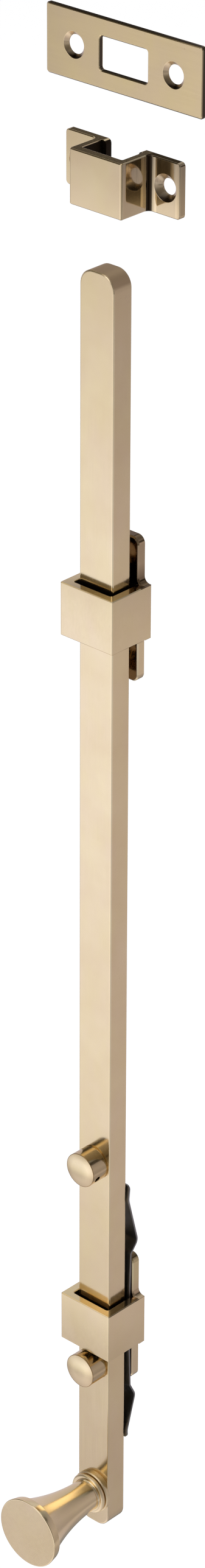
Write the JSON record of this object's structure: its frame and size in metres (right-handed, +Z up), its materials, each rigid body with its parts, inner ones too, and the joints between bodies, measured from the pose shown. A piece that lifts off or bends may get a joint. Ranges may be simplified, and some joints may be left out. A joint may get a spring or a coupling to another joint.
{
  "type": "panic bolt",
  "caption": "Flat surface bolt with a pull knob: the bar slides in two box guides with a leaf spring and stop studs, into a surface keeper and a flat strike plate.",
  "frame": {"origin": "on the mounting plane (the backs of the guides), at the middle of the lower guide's back face", "axes": "+Z up along the bar, the way the bolt is thrown; +X to the viewer's right; +Y into the door, away from the viewer"},
  "size_m": [0.0624, 0.0459, 0.5345],
  "materials": {
    "bar_brass": "satin, brushed along its length",
    "cast_brass": "satin, finely ground",
    "turned_brass": "turned, bright satin",
    "strike_brass": "satin, brushed",
    "spring_steel": "dark, blued",
    "screw_brass": "plain"
  },
  "bodies": {
    "mounting": {"upper_guide": "cast_brass", "lower_guide": "cast_brass", "friction_spring": "spring_steel", "surface_keeper": "cast_brass", "strike_plate": "strike_brass"},
    "bolt": {"bolt_bar": "bar_brass", "pull_knob": "turned_brass", "knob_collar": "turned_brass", "knob_screw": "screw_brass", "upper_stop": "turned_brass", "lower_stop": "turned_brass"}
  },
  "joints": [
    {"name": "bolt_slide", "type": "slide", "parent": "mounting", "child": "bolt", "axis": [0, 0, 1], "range_m": [-0.0486, 0.00135]}
  ]
}
